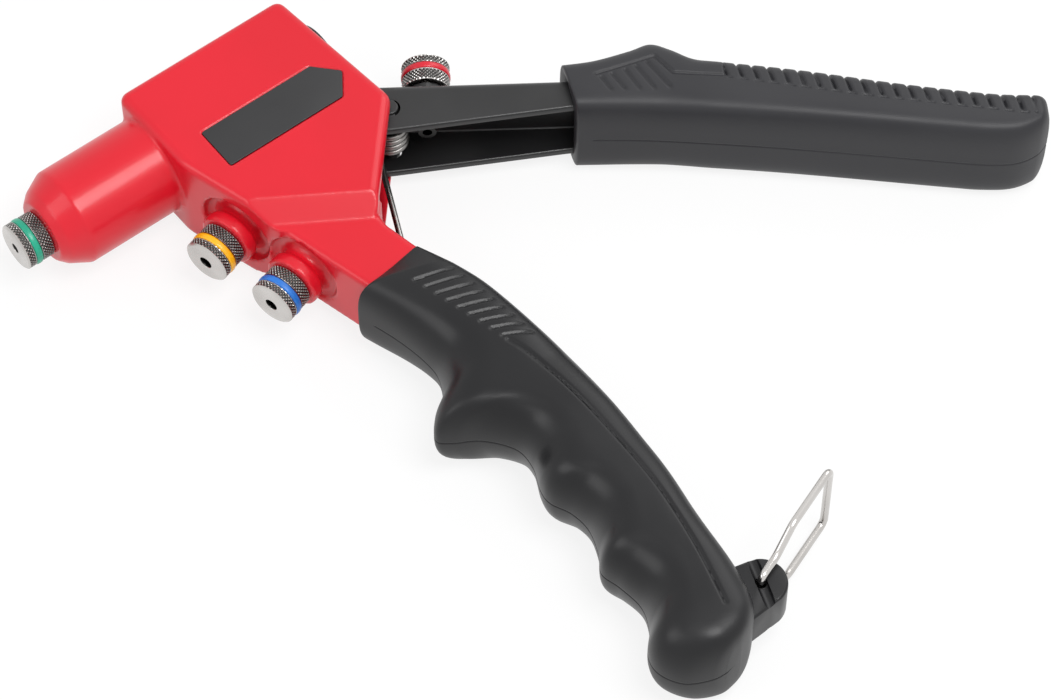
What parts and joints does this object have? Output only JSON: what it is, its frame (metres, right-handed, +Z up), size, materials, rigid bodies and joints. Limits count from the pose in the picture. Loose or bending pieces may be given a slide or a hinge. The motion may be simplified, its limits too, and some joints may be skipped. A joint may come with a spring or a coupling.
{
  "type": "hand riveter",
  "caption": "Hand riveter lying flat: squeezing lever and fixed grip behind a cast head, nose barrel with screwed nosepiece, spare nosepieces stored on it.",
  "frame": {"origin": "centre of the footprint, on the surface that the tool lies on", "axes": "+X along the nose axis and out of the nosepiece; +Z up, across the tool's thickness; +Y towards the end of the fixed grip"},
  "size_m": [0.2262, 0.2146, 0.03],
  "materials": {
    "red_paint": "gloss red paint over cast aluminium",
    "nickel_steel": "nickel-plated turned steel",
    "black_steel": "satin black coated sheet steel",
    "spring_steel": "oiled spring wire",
    "dark_plastic": "soft black moulded grip",
    "grey_plastic": "satin dark grey moulded grip",
    "label_grey": "blank satin plate",
    "green_ring": "green identification ring",
    "yellow_ring": "yellow identification ring",
    "blue_ring": "blue identification ring",
    "red_ring": "red identification ring"
  },
  "bodies": {
    "frame": {"body_casting": "red_paint", "label_plate": "label_grey", "pivot_pin": "nickel_steel", "rear_plug": "black_steel", "fixed_grip": "dark_plastic", "return_spring": "spring_steel"},
    "lever": {"lever_channel": "black_steel", "spring_pin": "black_steel", "handle_spring": "spring_steel", "storage_nut": "black_steel", "moving_grip": "grey_plastic"},
    "jaw_case": {"jaw_case_front": "nickel_steel", "jaw_case_rear": "nickel_steel", "pusher_spring": "spring_steel"},
    "jaw_1": {"jaw_1": "nickel_steel"},
    "jaw_2": {"jaw_2": "nickel_steel"},
    "jaw_3": {"jaw_3": "nickel_steel"},
    "jaw_pusher": {"jaw_pusher": "nickel_steel"},
    "bail": {"bail": "nickel_steel"},
    "ring_green": {"ring_green": "green_ring"},
    "nosepiece_green": {"nosepiece_green": "nickel_steel"},
    "ring_yellow": {"ring_yellow": "yellow_ring"},
    "nosepiece_yellow": {"nosepiece_yellow": "nickel_steel"},
    "ring_blue": {"ring_blue": "blue_ring"},
    "nosepiece_blue": {"nosepiece_blue": "nickel_steel"},
    "ring_red": {"ring_red": "red_ring"},
    "nosepiece_red": {"nosepiece_red": "nickel_steel"}
  },
  "joints": [
    {"name": "lever_hinge", "type": "hinge", "parent": "frame", "child": "lever", "pos_m": [0.04188, -0.07835, 0.015], "axis": [0, 0, -1], "range_deg": [0, 30], "stiffness_Nm_per_rad": 0.6, "springref_deg": -28.65, "deforming": ["handle_spring"]},
    {"name": "jaw_case_slide", "type": "slide", "parent": "frame", "child": "jaw_case", "axis": [-1, 0, 0], "range_m": [0, 0.00854], "deforming": ["return_spring"]},
    {"name": "jaw_1_slide", "type": "slide", "parent": "jaw_case", "child": "jaw_1", "axis": [0.9762, -0.2169, 0], "range_m": [0, 0.0012]},
    {"name": "jaw_2_slide", "type": "slide", "parent": "jaw_case", "child": "jaw_2", "axis": [0.9762, 0.1085, -0.1879], "range_m": [0, 0.0012]},
    {"name": "jaw_3_slide", "type": "slide", "parent": "jaw_case", "child": "jaw_3", "axis": [0.9762, 0.1085, 0.1879], "range_m": [0, 0.0012]},
    {"name": "jaw_pusher_slide", "type": "slide", "parent": "jaw_case", "child": "jaw_pusher", "axis": [1, 0, 0], "range_m": [0, 0.00117], "deforming": ["pusher_spring"]},
    {"name": "bail_hinge", "type": "hinge", "parent": "frame", "child": "bail", "pos_m": [0.03048, 0.09545, 0.015], "axis": [0, 0, 1], "range_deg": [-100, 45]},
    {"name": "nosepiece_green_travel", "type": "slide", "parent": "frame", "child": "ring_green", "axis": [1, 0, 0], "range_m": [0, 0.008]},
    {"name": "nosepiece_green_turn", "type": "hinge", "parent": "ring_green", "child": "nosepiece_green", "pos_m": [0.11308, -0.09385, 0.015], "axis": [1, 0, 0], "range_deg": [0, 2880]},
    {"name": "nosepiece_yellow_travel", "type": "slide", "parent": "frame", "child": "ring_yellow", "axis": [0.9588, 0.284, 0], "range_m": [0, 0.008]},
    {"name": "nosepiece_yellow_turn", "type": "hinge", "parent": "ring_yellow", "child": "nosepiece_yellow", "pos_m": [0.07838, -0.06125, 0.015], "axis": [0.9588, 0.284, 0], "range_deg": [0, 2880]},
    {"name": "nosepiece_blue_travel", "type": "slide", "parent": "frame", "child": "ring_blue", "axis": [0.9588, 0.284, 0], "range_m": [0, 0.008]},
    {"name": "nosepiece_blue_turn", "type": "hinge", "parent": "ring_blue", "child": "nosepiece_blue", "pos_m": [0.07298, -0.04115, 0.015], "axis": [0.9588, 0.284, 0], "range_deg": [0, 2880]},
    {"name": "nosepiece_red_travel", "type": "slide", "parent": "lever", "child": "ring_red", "axis": [-0.585, -0.8111, 0], "range_m": [0, 0.008]},
    {"name": "nosepiece_red_turn", "type": "hinge", "parent": "ring_red", "child": "nosepiece_red", "pos_m": [-0.00092, -0.07577, 0.015], "axis": [-0.585, -0.8111, 0], "range_deg": [0, 2880]}
  ],
  "couplings": [
    {"joint": "jaw_case_slide", "follows": "lever_hinge", "m_per_rad": 0.016312},
    {"joint": "jaw_1_slide", "follows": "lever_hinge", "m_per_rad": 0.002292},
    {"joint": "jaw_2_slide", "follows": "lever_hinge", "m_per_rad": 0.002292},
    {"joint": "jaw_3_slide", "follows": "lever_hinge", "m_per_rad": 0.002292},
    {"joint": "jaw_pusher_slide", "follows": "lever_hinge", "m_per_rad": 0.002237},
    {"joint": "nosepiece_green_travel", "follows": "nosepiece_green_turn", "m_per_rad": 0.00015915},
    {"joint": "nosepiece_yellow_travel", "follows": "nosepiece_yellow_turn", "m_per_rad": 0.00015915},
    {"joint": "nosepiece_blue_travel", "follows": "nosepiece_blue_turn", "m_per_rad": 0.00015915},
    {"joint": "nosepiece_red_travel", "follows": "nosepiece_red_turn", "m_per_rad": 0.00015915}
  ]
}
